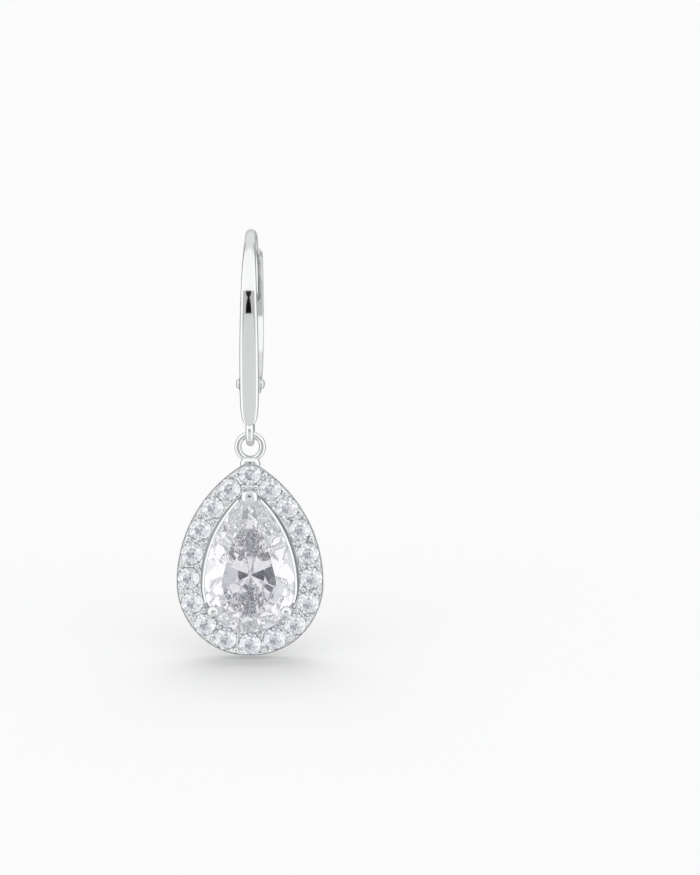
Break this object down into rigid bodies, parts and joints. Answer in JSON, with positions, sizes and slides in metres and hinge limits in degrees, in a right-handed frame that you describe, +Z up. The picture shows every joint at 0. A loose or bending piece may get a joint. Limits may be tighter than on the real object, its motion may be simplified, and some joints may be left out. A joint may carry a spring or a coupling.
{
  "type": "teardrop halo drop earring",
  "caption": "Pear-shaped stone in a halo of small round stones, hung by a ring from a lever-back ear wire with a flattened front.",
  "frame": {"origin": "underside of the ear wire's crown on its middle line, where the earring hangs on the ear", "axes": "+Z up, the front of the earring faces -Y, +X to the right as seen from the front"},
  "size_m": [0.0098, 0.0076, 0.0283],
  "materials": {
    "white_gold": "mirror polish",
    "centre_stone": "polished facets",
    "halo_stones": "polished facets"
  },
  "bodies": {
    "ear_wire": {"ear_wire": "white_gold", "rivet": "white_gold"},
    "lever": {"lever": "white_gold"},
    "pendant": {"pendant_frame": "white_gold", "centre_stone": "centre_stone", "halo_stone_01": "halo_stones", "halo_stone_02": "halo_stones", "halo_stone_03": "halo_stones", "halo_stone_04": "halo_stones", "halo_stone_05": "halo_stones", "halo_stone_06": "halo_stones", "halo_stone_07": "halo_stones", "halo_stone_08": "halo_stones", "halo_stone_09": "halo_stones", "halo_stone_10": "halo_stones", "halo_stone_11": "halo_stones", "halo_stone_12": "halo_stones", "halo_stone_13": "halo_stones", "halo_stone_14": "halo_stones", "halo_stone_15": "halo_stones", "halo_stone_16": "halo_stones", "halo_stone_17": "halo_stones", "halo_stone_18": "halo_stones"}
  },
  "joints": [
    {"name": "lever_hinge", "type": "hinge", "parent": "ear_wire", "child": "lever", "pos_m": [0, -0.00135, -0.00956], "axis": [-1, 0, 0], "range_deg": [0, 65]},
    {"name": "pendant_swing", "type": "hinge", "parent": "ear_wire", "child": "pendant", "pos_m": [0, -0.0016, -0.01342], "axis": [0, 1, 0], "range_deg": [-80, 80]}
  ]
}
